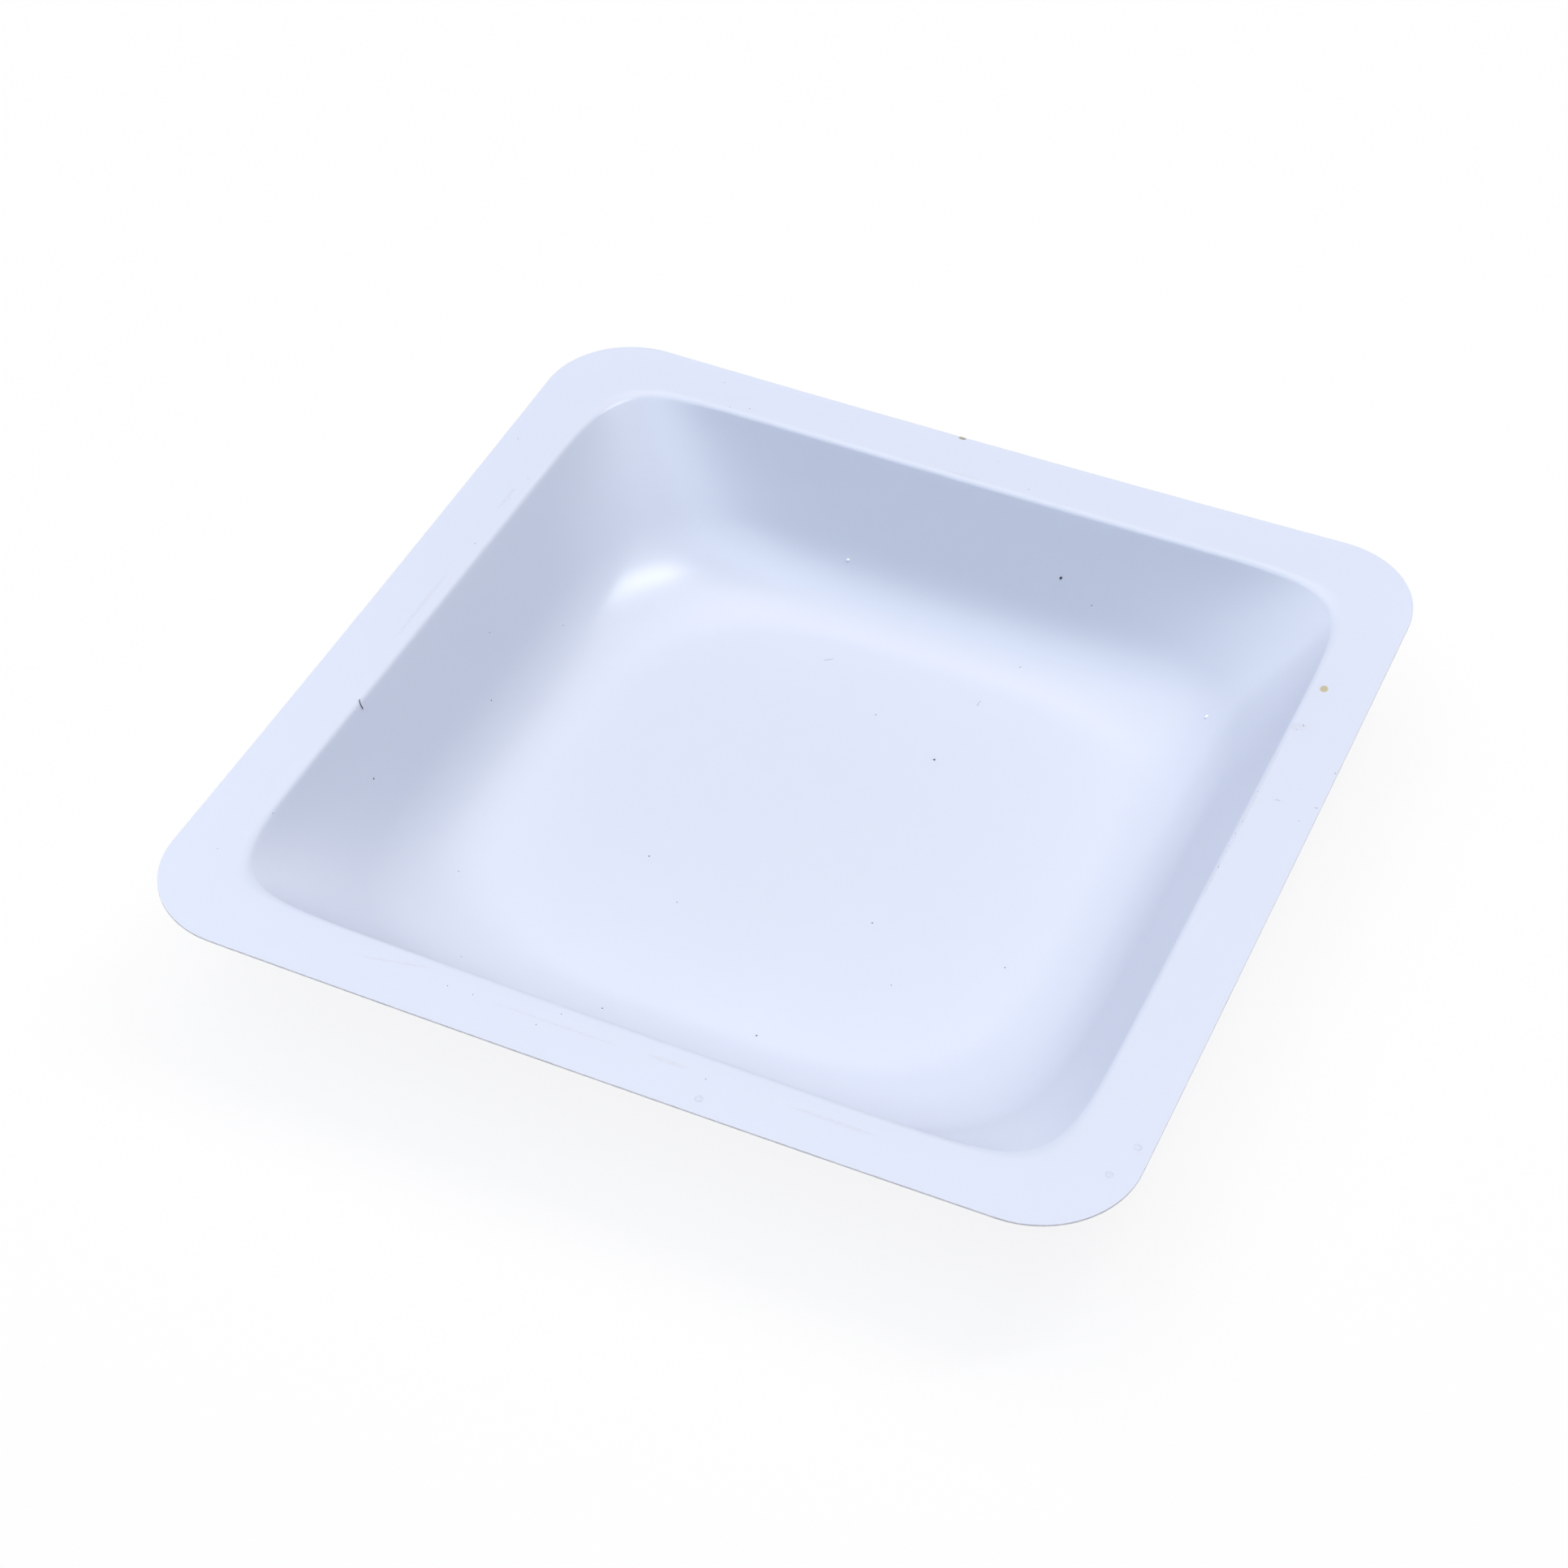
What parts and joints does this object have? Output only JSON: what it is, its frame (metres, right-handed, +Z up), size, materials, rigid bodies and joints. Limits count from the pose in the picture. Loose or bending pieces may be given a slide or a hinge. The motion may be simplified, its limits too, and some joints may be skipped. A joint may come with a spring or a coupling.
{
  "type": "weighing boat",
  "caption": "Square thermoformed weighing boat: a shallow tray with a flat rim flange, a rolled lip, sloping walls, a soft heel and a flat floor.",
  "frame": {"origin": "centre of the underside of the floor, which the boat stands on", "axes": "+Z up out of the bowl, +X and +Y along the sides of the square rim"},
  "size_m": [0.14, 0.14, 0.0212],
  "materials": {
    "polystyrene": "satin white"
  },
  "bodies": {
    "root": {"boat": "polystyrene"}
  },
  "joints": []
}
